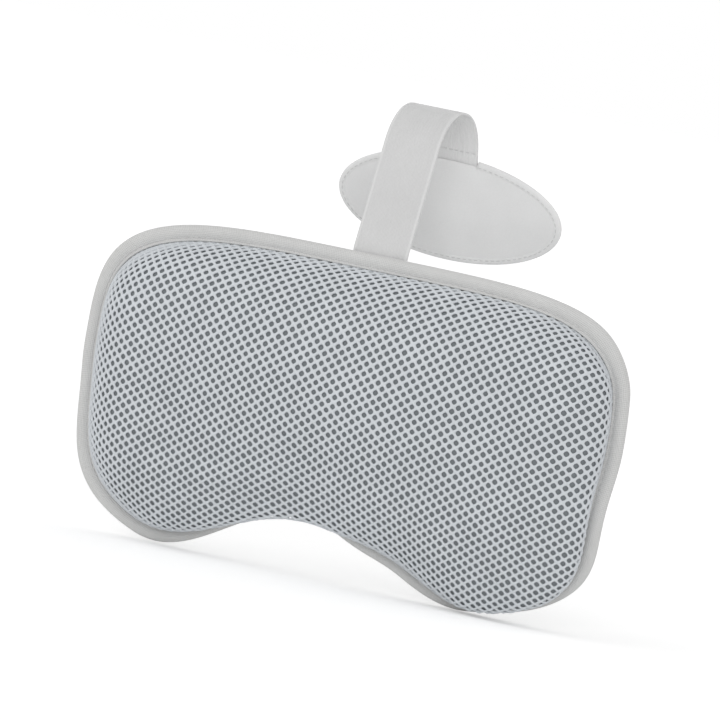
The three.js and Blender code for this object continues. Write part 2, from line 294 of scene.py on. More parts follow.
# Camera, as fitted to the photograph
VIEW_YAW = math.radians(23.68)
VIEW_PITCH = math.radians(4.476)
VIEW_ROLL = math.radians(10.155)
VIEW_DISTANCE = 6000
VIEW_WIDTH = 454.4
VIEW_ANCHOR = np.array([0, -45, -190])
VIEW_SHIFT_RIGHT = 2.245
VIEW_SHIFT_UP = 27.93
SENSOR_WIDTH = 36
CLIP_END_METRES = 50

# Light
WORLD_STRENGTH = 0.64
# Soft suns, as (name, strength, angle, where from, whether it casts a shadow)
SUNS = (
    ("key", 0.55, math.radians(60), (-0.75, -0.4, 0.75), True),
    ("fill", 1.1, math.radians(40), (0.4, -0.91, 0.2), True),
    ("back_light", 0.6, math.radians(60), (0.3, 0.9, 0.35), False),
)
FLOOR_SIZE = 12000
FLOOR_CORNERS = ((-1, -1), (1, -1), (1, 1), (-1, 1))
FLOOR_GAP = 0.5
FLOOR_GLOW = 0.22


def joint_place(name):
    """Place of a joint in millimetres."""
    joint = next(j for j in frame["joints"] if j["name"] == name)
    return np.array(joint["pos_m"]) / MM


def pillow_datum():
    """The pillow's datum: mid-depth of the binding, and its top edge less the rise."""
    low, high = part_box("edge_binding")
    return np.array([0, (low.y + high.y) / 2 / MM, high.z / MM - RISE])


DATUM = pillow_datum()


def linear(colour):
    """A screen colour from 0 to 255 as linear red, green, blue and alpha, by the sRGB curve."""
    share = np.array(colour) / 255
    bright = np.where(share <= 0.04045, share / 12.92, ((share + 0.055) / 1.055) ** 2.4)
    return (*bright.tolist(), 1.0)


# Mesh helpers

def mesh_object(name, points, faces, material, uv=None):
    """A smooth-shaded object from points in millimetres."""
    mesh = bpy.data.meshes.new(name)
    mesh.from_pydata((np.asarray(points) * MM).tolist(), [], [list(f) for f in faces])
    mesh.shade_smooth()
    if uv is not None:
        layer = mesh.uv_layers.new(name="weave")
        layer.data.foreach_set("uv", np.asarray(uv, np.float32).ravel())
    mesh.materials.append(material)
    made = bpy.data.objects.new(name, mesh)
    bpy.context.collection.objects.link(made)
    return made


def face_outward(piece):
    """Turns every face of a closed mesh outward."""
    work = bmesh.new()
    work.from_mesh(piece.data)
    bmesh.ops.recalc_face_normals(work, faces=work.faces)
    work.to_mesh(piece.data)
    work.free()
    return piece


def face_along(piece, direction):
    """Turns an open sheet so that it faces along a direction."""
    toward = Vector(direction)
    if np.mean([p.normal.dot(toward) for p in piece.data.polygons]) < 0:
        piece.data.flip_normals()


def grid_quads(rows, columns, wrap_rows, wrap_columns):
    """Quads of a grid of points, with each corner's row and column before wrapping."""
    row = np.arange(rows if wrap_rows else rows - 1)
    column = np.arange(columns if wrap_columns else columns - 1)
    row, column = (g.ravel() for g in np.meshgrid(row, column, indexing="ij"))
    corner_row = np.stack([row, row, row + 1, row + 1], 1)
    corner_column = np.stack([column, column + 1, column + 1, column], 1)
    quads = corner_row % rows * columns + corner_column % columns
    return quads, corner_row, corner_column


def running_length(grid, axis, wrap):
    """Mean length along one axis of a grid of points, from its first row."""
    rows = np.concatenate([grid, grid.take([0], axis)], axis) if wrap else grid
    steps = np.linalg.norm(np.diff(rows, axis=axis), axis=2).mean(1 - axis)
    return np.concatenate([[0], np.cumsum(steps)])


def loft(name, grid, material, wrap_rows=False, wrap_columns=False, caps=()):
    """A skin over rows of section points, closed at the capped rows, with a weave map at real size."""
    rows, columns, _ = grid.shape
    quads, corner_row, corner_column = grid_quads(rows, columns, wrap_rows, wrap_columns)
    along = running_length(grid, 0, wrap_rows)[corner_row]
    across = running_length(grid, 1, wrap_columns)[corner_column]
    uv = np.stack([across, along], -1).reshape(-1, 2) * MM
    faces = quads.tolist()
    for row in caps:
        start = row % rows * columns
        faces.append(list(range(start, start + columns)))
        uv = np.concatenate([uv, np.zeros((columns, 2))])
    return mesh_object(name, grid.reshape(-1, 3), faces, material, uv)


def closed_curve(points, fineness):
    """A smooth closed curve through the points, with that many steps between two."""
    before, start, end, after = (np.roll(points, k, axis=0)[:, None] for k in (1, 0, -1, -2))
    t = (np.arange(fineness) / fineness)[None, :, None]
    curve = 0.5 * (
        2 * start
        + (end - before) * t
        + (2 * before - 5 * start + 4 * end - after) * t**2
        + (3 * start - before - 3 * end + after) * t**3
    )
    return curve.reshape(-1, points.shape[1])


def line_reach(points):
    """Length along a line up to each of its points."""
    return np.concatenate([[0], np.cumsum(np.linalg.norm(np.diff(points, axis=0), axis=1))])


def even_lengths(points, step):
    """Points along a line at about even steps."""
    reach = line_reach(points)
    wanted = np.linspace(0, reach[-1], max(2, round(reach[-1] / step) + 1))
    return np.stack([np.interp(wanted, reach, points[:, k]) for k in range(points.shape[1])], 1)


def unit(vectors):
    """Vectors of length one."""
    return vectors / np.maximum(np.linalg.norm(vectors, axis=-1, keepdims=True), TINY)


def smooth_noise(points, size, seed):
    """A smooth wander between about -1 and 1, from sines in fixed directions."""
    rng = np.random.default_rng(seed)
    total = np.zeros(points.shape[:-1])
    for _ in range(NOISE_WAVES):
        direction = unit(rng.normal(size=points.shape[-1]))
        phase = points @ direction * rng.uniform(*NOISE_PITCHES) * math.tau / size
        total += np.sin(phase + rng.uniform(0, math.tau))
    return total / NOISE_WAVES * NOISE_GAIN


def drift(points, sizes, seeds):
    """A smooth wander of flat points in both directions."""
    return np.stack([smooth_noise(points, size, seed) for size, seed in zip(sizes, seeds)], -1)


def stitches(name, line, normals, material):
    """A row of thread stitches along a line of points, each a short bead."""
    reach = line_reach(line)
    count = int(reach[-1] // STITCH_PITCH)
    middles = (np.arange(count) + 0.5) * reach[-1] / count
    stations = np.array(STITCH_STATIONS)
    place = middles[:, None] + stations[:, 0] * STITCH_LENGTH
    centre = np.stack([np.interp(place, reach, line[:, k]) for k in range(3)], -1)
    up = unit(np.stack([np.interp(place, reach, normals[:, k]) for k in range(3)], -1))
    ahead = unit(np.gradient(centre, axis=1))
    side = unit(np.cross(ahead, up))
    centre = centre + up * (stations[:, 2] * STITCH_RADIUS)[None, :, None]
    angle = np.arange(STITCH_SIDES) / STITCH_SIDES * math.tau
    radius = (stations[:, 1] * STITCH_RADIUS)[None, :, None, None]
    ring = np.cos(angle)[:, None] * up[:, :, None] + np.sin(angle)[:, None] * side[:, :, None]
    points = centre[:, :, None] + radius * ring
    quads, _, _ = grid_quads(len(stations), STITCH_SIDES, False, True)
    size = len(stations) * STITCH_SIDES
    ends = np.stack([np.arange(STITCH_SIDES), size - 1 - np.arange(STITCH_SIDES)])
    faces = []
    for k in range(count):
        faces += (quads + k * size).tolist() + (ends + k * size).tolist()
    return face_outward(mesh_object(name, points.reshape(-1, 3), faces, material))


# Materials

def node(tree, kind, inputs=None, **settings):
    """A shader node with its settings, constants and links."""
    made = tree.nodes.new(kind)
    for key, value in settings.items():
        setattr(made, key, value)
    for key, value in (inputs or {}).items():
        if isinstance(value, bpy.types.NodeSocket):
            tree.links.new(value, made.inputs[key])
        else:
            made.inputs[key].default_value = value
    return made


def new_material(name):
    """An empty material and its node tree."""
    material = bpy.data.materials.new(name)
    material.use_nodes = True
    material.node_tree.nodes.clear()
    return material, material.node_tree


def thread_wave(tree, place, direction, period):
    """Ridges of that period in millimetres across one direction of the map."""
    scale = math.tau / WAVE_RADIANS / (period * MM)
    wave = node(
        tree, "ShaderNodeTexWave",
        {"Vector": place, "Scale": scale, "Distortion": THREAD_WANDER, "Detail": THREAD_DETAIL},
        wave_type="BANDS", bands_direction=direction,
    )
    return wave.outputs["Fac"]


def mixed(tree, share, first, second):
    """Colour between two, by a share."""
    mix = node(tree, "ShaderNodeMix", data_type="RGBA")
    tree.links.new(share, mix.inputs["Factor"])
    for socket, value in (("A", first), ("B", second)):
        target = next(i for i in mix.inputs if i.name == socket and i.type == "RGBA")
        if isinstance(value, bpy.types.NodeSocket):
            tree.links.new(value, target)
        else:
            target.default_value = value
    return next(o for o in mix.outputs if o.type == "RGBA")


def shaded(colour, share):
    """A screen colour made lighter or darker."""
    return (*(c * share for c in linear(colour)[:3]), 1.0)


def cloth_material(
    name, colour, warp, weft, by_map, bump=0.25, roughness=0.85, sheen=0.2, painted_valley_shade=0.88, tint=None
):
    """Woven or knitted cloth: crossing threads, a fine grain and slow changes of shade."""
    material, tree = new_material(name)
    coordinates = node(tree, "ShaderNodeTexCoord")
    place = coordinates.outputs["UV" if by_map else "Object"]
    object_place = coordinates.outputs["Object"]
    along = thread_wave(tree, place, "X", warp)
    across = thread_wave(tree, place, "Y" if by_map else "Z", weft)
    threads = node(tree, "ShaderNodeMath", {0: along, 1: across}, operation="ADD").outputs[0]
    grain = node(
        tree, "ShaderNodeTexNoise", {"Vector": object_place, "Scale": GRAIN_SCALE, "Detail": GRAIN_DETAIL}
    ).outputs["Fac"]
    height = node(
        tree, "ShaderNodeMath", {0: grain, 1: GRAIN_SHARE, 2: threads}, operation="MULTIPLY_ADD"
    ).outputs[0]
    blotch = node(
        tree, "ShaderNodeTexNoise", {"Vector": object_place, "Scale": BLOTCH_SCALE, "Detail": BLOTCH_DETAIL}
    ).outputs["Fac"]
    shade = mixed(tree, blotch, *(shaded(colour, share) for share in BLOTCH_SHADES))
    if tint is not None:
        shade = tint(tree, object_place, shade)
    # Painted shade: where the height is low, in the valleys between threads, the colour is painted darker
    lowest, highest = PAINTED_SHADE_VALLEY_RANGE
    valley = node(
        tree, "ShaderNodeMapRange", {"Value": height, "From Min": lowest, "From Max": highest}
    ).outputs["Result"]
    darker = node(tree, "ShaderNodeHueSaturation", {"Color": shade, "Value": painted_valley_shade}).outputs["Color"]
    shade = mixed(tree, valley, darker, shade)
    relief = node(
        tree, "ShaderNodeBump", {"Height": height, "Strength": bump, "Distance": THREAD_HEIGHT * MM}
    ).outputs["Normal"]
    skin = node(
        tree, "ShaderNodeBsdfPrincipled",
        {"Base Color": shade, "Roughness": roughness, "Normal": relief, "Sheen Weight": sheen,
         "Sheen Roughness": SHEEN_ROUGHNESS, "Specular IOR Level": CLOTH_SPECULAR},
    )
    out = node(tree, "ShaderNodeOutputMaterial")
    tree.links.new(skin.outputs["BSDF"], out.inputs["Surface"])
    return material


def selvedge(tree, object_place, shade):
    """Lighter edges along the strap."""
    x = node(tree, "ShaderNodeSeparateXYZ", {"Vector": object_place}).outputs["X"]
    reach = node(tree, "ShaderNodeMath", {0: x}, operation="ABSOLUTE").outputs[0]
    start, end = ((STRAP_HALF_WIDTH - inset) * MM for inset in SELVEDGE_BAND)
    edge = node(
        tree, "ShaderNodeMapRange", {"Value": reach, "From Min": start, "From Max": end}
    ).outputs["Result"]
    return mixed(tree, edge, shade, linear(SELVEDGE_COLOUR))


def steel_material():
    """Bare rolled sheet."""
    material, tree = new_material("weight_steel")
    place = node(tree, "ShaderNodeTexCoord").outputs["Object"]
    stretched = node(
        tree, "ShaderNodeMapping", {"Vector": place, "Scale": STREAK_STRETCH}
    ).outputs["Vector"]
    streak = node(
        tree, "ShaderNodeTexNoise", {"Vector": stretched, "Scale": STREAK_SCALE, "Detail": STREAK_DETAIL}
    ).outputs["Fac"]
    shade = mixed(tree, streak, *(shaded(STEEL_COLOUR, share) for share in STREAK_SHADES))
    smoothest, roughest = STREAK_ROUGHNESS
    rough = node(
        tree, "ShaderNodeMapRange", {"Value": streak, "To Min": smoothest, "To Max": roughest}
    ).outputs["Result"]
    skin = node(
        tree, "ShaderNodeBsdfPrincipled", {"Base Color": shade, "Metallic": 1.0, "Roughness": rough}
    )
    out = node(tree, "ShaderNodeOutputMaterial")
    tree.links.new(skin.outputs["BSDF"], out.inputs["Surface"])
    return material


def seen_directly(tree):
    """One for a ray from the camera or off a glossy surface, and nothing for others."""
    path = node(tree, "ShaderNodeLightPath")
    return node(
        tree, "ShaderNodeMath", {0: path.outputs["Is Camera Ray"], 1: path.outputs["Is Glossy Ray"]},
        operation="MAXIMUM",
    ).outputs[0]


def floor_material():
    """Pale floor that stays white to the camera and keeps the shadow."""
    material, tree = new_material("floor")
    matt = node(tree, "ShaderNodeBsdfDiffuse", {"Color": linear(FLOOR_COLOUR)})
    strength = node(
        tree, "ShaderNodeMath", {0: seen_directly(tree), 1: FLOOR_GLOW}, operation="MULTIPLY"
    ).outputs[0]
    glow = node(tree, "ShaderNodeEmission", {"Color": WHITE, "Strength": strength})
    both = node(tree, "ShaderNodeAddShader", {0: matt.outputs["BSDF"], 1: glow.outputs["Emission"]})
    out = node(tree, "ShaderNodeOutputMaterial")
    tree.links.new(both.outputs["Shader"], out.inputs["Surface"])
    return material


MESH_YARN = cloth_material("mesh_yarn", MESH_COLOUR, 0.45, 0.45, False, bump=0.3, roughness=0.75, sheen=0.15)
LINING = cloth_material("lining_knit", LINING_COLOUR, 0.9, 0.9, False, bump=0.4, roughness=0.95, sheen=0.05)
# The tape's thread valleys get a deeper painted shade
TAPE = cloth_material("edge_tape", TAPE_COLOUR, 1.2, 1.2, True, bump=0.6, painted_valley_shade=0.74)
BACK = cloth_material("back_cloth", BACK_COLOUR, 0.7, 0.7, False, bump=0.3)
WEBBING = cloth_material("webbing", WEBBING_COLOUR, 0.95, 0.8, True, bump=0.4, tint=selvedge)
# The same webbing painted lighter for the inside of the loop: painted light
PAINTED_LIGHT_WEBBING = cloth_material("painted_light_webbing", PAINTED_LIGHT_WEBBING_COLOUR, 0.95, 0.8, True, bump=0.4)
# Pouch cloth, used for its tape too: its own light grey with painted light
POUCH_CLOTH_WITH_PAINTED_LIGHT = cloth_material("pouch_cloth", POUCH_COLOUR_WITH_PAINTED_LIGHT, 0.7, 0.7, False, bump=0.3)
THREAD = cloth_material("thread", THREAD_COLOUR, 0.3, 0.3, False, bump=0.3, roughness=0.6)


# Pillow shape

def bell(u):
    """One at 0, falling smoothly to nothing at 1 and -1."""
    return np.where(np.abs(u) < 1, 0.5 * (1 + np.cos(np.pi * u)), 0)


def bells(x, places):
    """Sum of bells, each given as (place, half width, amount)."""
    return sum(amount * bell((x - place) / half_width) for place, half_width, amount in places)


def outline(turn, inset, notch=1.0):
    """The pillow's outline in x and z, moved in by an inset, with that share of its notch."""
    upper = np.sin(turn) >= 0
    power = 2 / np.where(upper, UPPER_POWER, LOWER_POWER)
    reach = np.where(upper, RISE, DROP) - inset
    x = (HALF_WIDTH - inset) * np.sign(np.cos(turn)) * np.abs(np.cos(turn)) ** power
    z = reach * np.sign(np.sin(turn)) * np.abs(np.sin(turn)) ** power
    draw = sum(
        side * amount * np.clip(side * x / HALF_WIDTH, 0, 1) * bell((z - level) / half_height)
        for side, level, half_height, amount in SIDE_DRAWS
    )
    lift = notch * NOTCH_DEPTH * bell((x - NOTCH_SHIFT) / NOTCH_HALF_WIDTH)
    lift = np.where(upper, 0, lift - bells(x, LOWER_SAGS))
    return np.stack([x - draw, z + lift], -1)


def even_turns(count):
    """Angles that give points at even steps along the outline."""
    turn = np.linspace(0, math.tau, TURN_SAMPLES + 1)
    line = outline(turn, 0)
    reach = line_reach(line)
    return np.interp(np.arange(count) / count * reach[-1], reach, turn)


def flat_ring(turn, inset, depth, scale=1.0):
    """A ring of the outline at one depth, in the pillow's coordinates."""
    line = outline(turn, inset) * scale
    return np.stack([line[:, 0], np.full(len(turn), depth), line[:, 1]], 1)


def roll_shape(turn):
    """Where the padded front's rolled edge ends and how square it is, at each angle."""
    left = np.clip(-np.cos(turn), 0, 1) ** 2
    head = np.clip(np.sin(turn), 0, 1) ** 2
    return (
        plain + (at_left - plain) * left + (at_head - plain) * head
        for plain, at_left, at_head in zip(ROLL, LEFT_ROLL, HEAD_ROLL)
    )


def dome_ring(turn, inset, scale, notch, height, belly):
    """A ring of the padded front: its belly hangs over the lower edge."""
    line = outline(turn, inset, notch)
    side = 0.5 + 0.5 * np.sin(np.clip(line[:, 0] / HALF_WIDTH, -1, 1) * math.pi / 2)
    lobe = LEFT_BELLY + (RIGHT_BELLY - LEFT_BELLY) * side
    hang = lobe + (NOTCH_BELLY - lobe) * bell((line[:, 0] - NOTCH_SHIFT) / NOTCH_HALF_WIDTH)
    hang = hang - bells(line[:, 0], BELLY_LOSSES)
    low = np.maximum(0, -np.sin(turn))
    push = (RIGHT_PUSH + CORNER_PUSH * 2 * low) * np.maximum(0, np.cos(turn)) * belly
    x = line[:, 0] * scale + SLUMP * height + push
    return np.stack([x, -FOOT_DEPTH - height, line[:, 1] * scale - hang * low * belly], 1)


def dome_rows(turn):
    """Rings of the padded front from near its middle out to the binding."""
    top_inset, square = roll_shape(turn)
    power = 2 / square
    rows = []
    for scale in np.arange(1, CROWN_ROWS + 1) / (CROWN_ROWS + 1):
        height = np.full(len(turn), WALL_RISE + CROWN_RISE * (1 - scale**2) ** 2)
        rows.append(dome_ring(turn, top_inset, scale, (1 - NOTCH_FADE) * scale, height, 0))
    for angle in np.linspace(math.pi / 2, 0, WALL_ROWS):
        share = 1 - max(0, math.cos(angle)) ** power
        lift = math.sin(angle) ** power
        inset = FOOT_INSET + (top_inset - FOOT_INSET) * share
        belly = np.sin(math.pi * lift) ** 2
        rows.append(dome_ring(turn, inset, 1, 1 - NOTCH_FADE * lift**2, WALL_RISE * lift, belly))
    return np.array(rows)


def grid_normals(rows):
    """Outward normals of the padded front's rings."""
    around = np.roll(rows, -1, axis=1) - np.roll(rows, 1, axis=1)
    outward = np.gradient(rows, axis=0)
    return unit(np.cross(outward, around))


def eased(moved):
    """Evens out how far a pad's rings have moved, with the last ring kept in place."""
    for _ in range(SWELL_EASING):
        moved = (np.roll(moved, 1, axis=1) + 2 * moved + np.roll(moved, -1, axis=1)) / 4
        wider = np.concatenate([moved[:1], moved, moved[-1:]])
        moved = (wider[:-2] + 2 * moved + wider[2:]) / 4
        moved[-1] = 0
    return moved


def swell(piece, rows, columns, held):
    """Blows a pad up by cloth simulation, with some of its points held, and eases its front rings."""
    group = piece.vertex_groups.new(name="held")
    group.add(held, 1.0, "REPLACE")
    before = np.array([v.co for v in piece.data.vertices])
    cloth = piece.modifiers.new("swell", "CLOTH")
    for setting, value in SWELL_CLOTH.items():
        setattr(cloth.settings, setting, value)
    cloth.settings.effector_weights.gravity = 0
    cloth.settings.vertex_group_mass = "held"
    cloth.collision_settings.use_collision = False
    for number in range(1, SWELL_FRAMES + 1):
        bpy.context.scene.frame_set(number)
    shown = piece.evaluated_get(bpy.context.evaluated_depsgraph_get())
    after = np.array([v.co for v in shown.data.vertices])
    piece.modifiers.remove(cloth)
    bpy.context.scene.frame_set(1)
    moved = after - before
    far = np.linalg.norm(moved, axis=1, keepdims=True)
    limit = SWELL_LIMIT * MM
    capped = moved * np.where(far > limit, limit / np.maximum(far, TINY), 1)
    rings = eased(capped[: rows * columns].reshape(rows, columns, 3))
    capped[: rows * columns] = rings.reshape(-1, 3)
    capped[-2] = rings[0].mean(0)
    piece.data.vertices.foreach_set("co", (before + capped).ravel())
    piece.data.update()


def make_cushion(turn):
    """The filled pad under the mesh, and its front rings after it has swollen."""
    front = dome_rows(turn)
    back = [flat_ring(turn, inset, depth) for inset, depth in PAD_BACK_STEPS]
    back += [flat_ring(turn, PAD_BACK_INSET, BACK_DEPTH, scale) for scale in BACK_SCALES]
    rings = np.concatenate([front, back]) + DATUM
    rows, columns, _ = rings.shape
    first_pole = rings[0].mean(0)
    first_pole[1] = DATUM[1] - FOOT_DEPTH - WALL_RISE - CROWN_RISE
    last_pole = rings[-1].mean(0)
    points = np.concatenate([rings.reshape(-1, 3), [first_pole, last_pole]])
    quads, _, _ = grid_quads(rows, columns, False, True)
    faces = quads.tolist()
    start = (rows - 1) * columns
    for k in range(columns):
        following = (k + 1) % columns
        faces.append([rows * columns, following, k])
        faces.append([rows * columns + 1, start + k, start + following])
    piece = face_outward(mesh_object("cushion", points, faces, LINING))
    held = list(range((len(front) - 1) * columns, rows * columns)) + [rows * columns + 1]
    swell(piece, len(front), columns, held)
    settled = np.array([v.co for v in piece.data.vertices]) / MM
    settled_front = settled[: len(front) * columns].reshape(len(front), columns, 3)
    pole = settled[rows * columns]
    piece.modifiers.new("smooth", "SUBSURF").levels = 1
    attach(piece, "pillow")
    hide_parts("front_lining", "padding_core")
    return settled_front, pole


# Open mesh front

def mesh_base(front, pole, turn):
    """Rings that the mesh follows: off the pad, then in under the binding."""
    normals = grid_normals(front)
    stood = front + normals * STAND_OFF
    tip = pole + np.array([0, -STAND_OFF, 0])
    flange = [flat_ring(turn, inset, depth) + DATUM for inset, depth in FLANGE_ROWS]
    return np.concatenate([np.repeat(tip[None, None], len(turn), 1), stood, flange])


def laid_flat(rings, turn):
    """Lays the rings flat: each point of the wall moves outward by the length its column gains in depth."""
    flat = rings[..., [0, 2]] - DATUM[[0, 2]]
    edge = outline(turn, 0)
    tangent = np.roll(edge, -1, axis=0) - np.roll(edge, 1, axis=0)
    outward = unit(np.stack([tangent[:, 1], -tangent[:, 0]], 1))
    forward = (np.diff(flat, axis=0) * outward).sum(2)
    deeper = np.diff(rings[..., 1], axis=0)
    gain = np.hypot(forward, deeper) - forward
    gain[: CROWN_ROWS + 1] = 0
    flat[1:] += outward * np.cumsum(gain, axis=0)[..., None]
    return flat


def lattice_cells(flat):
    """Hole centres of the lattice over the flat mesh, as whole half steps."""
    across = HOLE_STEP_ACROSS / 2
    up = HOLE_STEP_UP / 2
    reach = np.abs(flat).max((0, 1)) * LATTICE_MARGIN
    m = np.arange(-int(reach[0] / across), int(reach[0] / across) + 1)
    n = np.arange(-int(reach[1] / up), int(reach[1] / up) + 1)
    m, n = (g.ravel() for g in np.meshgrid(m, n, indexing="ij"))
    holes = (m + n) % 2 == 0
    return np.stack([m[holes], n[holes]], 1)


def lattice_place(steps):
    """Flat place of a point of the lattice, given in half steps."""
    x = steps[..., 0] * HOLE_STEP_ACROSS / 2
    z = np.expm1(STEP_GROWTH * steps[..., 1] * HOLE_STEP_UP / 2) / STEP_GROWTH
    cosine, sine = math.cos(LATTICE_TURN), math.sin(LATTICE_TURN)
    return np.stack([x * cosine - z * sine, x * sine + z * cosine], -1)


def find_on(flat, wanted):
    """For each wanted flat point, the triangle of the flat grid that holds it and its shares."""
    rows, columns, _ = flat.shape
    quads, _, _ = grid_quads(rows, columns, False, True)
    triangles = np.concatenate([quads[:, [0, 1, 2]], quads[:, [0, 2, 3]]])
    spread = np.concatenate([flat.reshape(-1, 2), np.zeros((rows * columns, 1))], 1)
    tree = BVHTree.FromPolygons(spread.tolist(), triangles.tolist(), all_triangles=True)
    down = Vector((0, 0, -1))
    hits = [tree.ray_cast(Vector((x, z, 1)), down)[2] for x, z in wanted.tolist()]
    found = np.array([h is not None for h in hits])
    corners = triangles[[h or 0 for h in hits]]
    a, b, c = (spread[corners[:, k], :2] for k in range(3))

    def area(p, q, r):
        return (q[:, 0] - p[:, 0]) * (r[:, 1] - p[:, 1]) - (q[:, 1] - p[:, 1]) * (r[:, 0] - p[:, 0])

    whole = area(a, b, c)
    whole = np.where(np.abs(whole) < TINY, 1, whole)
    shares = np.stack([area(wanted, b, c), area(a, wanted, c), area(a, b, wanted)], 1) / whole[:, None]
    return found, corners, shares


def seam_closeness(places, flat):
    """One where the flat mesh goes under the binding, falling to nothing inside it."""
    seam = flat[-1 - len(FLANGE_ROWS)]
    gap = np.array([np.hypot(*(seam - place).T).min() for place in places])
    return np.clip(1 - gap / SEAM_BAND, 0, 1) ** SEAM_SHARPNESS


def gathering(places, flat):
    """How much the mesh is gathered: near the seam, and there at the corners."""
    reach = np.abs(flat[-1]).max(0)
    corner = np.clip(np.abs(places / reach).prod(1) * CORNER_GROWTH - CORNER_START, 0, 1)
    return seam_closeness(places, flat) * corner


def mesh_crest(shared, flat):
    """Flat places of the cells' border points, with a slight wobble and the gathers at the corners."""
    crest = lattice_place(shared / 2)
    wobble = drift(crest, WOBBLE_SIZES, WOBBLE_SEEDS) * MESH_WOBBLE
    gathers = drift(crest, GATHER_SIZES, GATHER_SEEDS) * GATHER
    return crest + wobble + gathers * gathering(crest, flat)[:, None]


def hole_edges(border, flat):
    """Flat places of the holes' edges: each hole a little different, and smaller at the seam."""
    middle = border.mean(1, keepdims=True)
    rng = np.random.default_rng(SEED)
    change = rng.normal(size=(len(border), 1, 1)).clip(-HOLE_VARIATION_LIMIT, HOLE_VARIATION_LIMIT)
    radius = np.tile([HOLE_CORNER, HOLE_FLAT], len(CELL_CORNERS) // 2)[None, :, None]
    radius = radius * (1 + HOLE_VARIATION * change)
    radius = radius * (1 - SEAM_SQUEEZE * seam_closeness(middle[:, 0], flat))[:, None, None]
    return middle + unit(border - middle) * radius


def raised_on(rings, flat, wanted, height):
    """Flat points brought back onto the rings at a height above them, and which of them the mesh holds."""
    found, corners, shares = find_on(flat, wanted)
    normals = grid_normals(rings[1:])
    tip = np.repeat(normals[:1].mean(1, keepdims=True), rings.shape[1], 1)
    normals = np.concatenate([tip, normals]).reshape(-1, 3)
    points = (rings.reshape(-1, 3)[corners] * shares[..., None]).sum(1)
    upright = unit((normals[corners] * shares[..., None]).sum(1))
    return found, points + upright * height[:, None]


def make_mesh_front(front, pole, turn):
    """The open mesh: a strand round every hole, rounded to its crest, over the whole front."""
    rings = mesh_base(front, pole, turn)
    flat = laid_flat(rings, turn)
    cells = lattice_cells(flat)
    sides = len(CELL_CORNERS)
    keys = np.rint((cells[:, None] + CELL_CORNERS) * 2).astype(int)
    shared, number = np.unique(keys.reshape(-1, 2), axis=0, return_inverse=True)
    number = number.reshape(len(cells), sides)
    crest = mesh_crest(shared, flat)
    border = crest[number]
    edge = hole_edges(border, flat)
    shoulder = edge + (border - edge) * SHOULDER_PLACE
    count = len(cells) * sides
    wanted = np.concatenate([crest, *(loop.reshape(-1, 2) for loop in (shoulder, edge, edge))])
    knots = np.abs(shared).sum(1) % 2 == 0
    height = np.concatenate([
        np.where(knots, KNOT_CREST, STRAND_CREST), np.full(count, STRAND_SHOULDER),
        np.zeros(count), np.full(count, -STRAND_LIP),
    ])
    found, points = raised_on(rings, flat, wanted, height)
    own = len(shared) + np.arange(count).reshape(len(cells), sides)
    loops = [number, own, own + count, own + 2 * count]
    whole = np.all([found[loop].all(1) for loop in loops], axis=0)
    quads = []
    for outer, inner in zip(loops[:-1], loops[1:]):
        outer, inner = outer[whole], inner[whole]
        band = np.stack([outer, np.roll(outer, -1, 1), np.roll(inner, -1, 1), inner], -1)
        quads.append(band.reshape(-1, 4))
    used, renumbered = np.unique(np.concatenate(quads), return_inverse=True)
    piece = mesh_object("mesh_front", points[used], renumbered.reshape(-1, 4).tolist(), MESH_YARN)
    face_along(piece, (0, -1, 0))
    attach(piece, "pillow")
    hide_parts("front_mesh_panel")


# Binding and back

def make_binding():
    """The folded tape round the edge, with a row of stitches on each face."""
    turn = even_turns(BINDING_POINTS)
    section = closed_curve(np.array(BINDING_SECTION, float), SECTION_FINENESS)
    grid = np.stack([flat_ring(turn, inset, depth) for inset, depth in section], 1)
    wander = smooth_noise(grid[:, 0], BINDING_WAVE_SIZE, BINDING_SEED)[:, None]
    wander = wander * np.sin(np.pi * np.clip(section[:, 0] / BINDING_WIDTH, 0, 1))
    grid[..., 1] += BINDING_WAVE * wander
    piece = face_outward(loft("binding", grid + DATUM, TAPE, wrap_rows=True, wrap_columns=True))
    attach(piece, "pillow")
    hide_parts("edge_binding")
    whole_turn = np.append(turn, turn[:1] + math.tau)
    for name, side in (("binding_stitches_front", -1), ("binding_stitches_back", 1)):
        line = flat_ring(whole_turn, BINDING_STITCH_INSET, side * BINDING_STITCH_DEPTH)
        normals = np.tile([0.0, side, 0.0], (len(line), 1))
        row = stitches(name, line + DATUM, normals, THREAD)
        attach(row, "pillow")


def make_back():
    """The plain cloth behind the padding."""
    turn = even_turns(OUTLINE_POINTS)
    rings = [flat_ring(turn, inset, depth) for inset, depth in BACK_STEPS]
    last_inset, last_depth = BACK_STEPS[-1]
    rings += [flat_ring(turn, last_inset, last_depth, scale) for scale in BACK_SCALES]
    piece = loft("back_cloth", np.array(rings) + DATUM, BACK, wrap_columns=True, caps=(-1,))
    face_along(piece, (0, 1, 0))
    piece.modifiers.new("smooth", "SUBSURF").levels = 1
    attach(piece, "pillow")
    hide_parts("back_panel")


# Strap

PILLOW_SEAM = joint_place("pillow_seam")
FRONT_SHOULDER = joint_place("front_shoulder")
REAR_SHOULDER = joint_place("rear_shoulder")
POUCH_SEAM = joint_place("pouch_seam")
LOOP_CENTRE = np.array([0, 0, LOOP_CENTRE_Z])


def loop_angle(place):
    """Angle of a place about the middle of the strap's loop."""
    return math.atan2(place[2] - LOOP_CENTRE_Z, place[1])


def loop_point(angle):
    """Place at an angle on the strap's loop."""
    return LOOP_CENTRE + LOOP_MID_RADIUS * np.array([0, math.cos(angle), math.sin(angle)])


def loop_ahead(angle):
    """Direction of the strap's run over the rim, from front to back."""
    return np.array([0, math.sin(angle), -math.cos(angle)])


POUCH_DOWN = loop_ahead(loop_angle(POUCH_SEAM))
POUCH_OUT = np.array([0, POUCH_DOWN[2], -POUCH_DOWN[1]])


def loop_arc(start, end):
    """Places along the strap's loop between two angles."""
    return np.array([loop_point(a) for a in np.linspace(start, end, ARC_POINTS)])


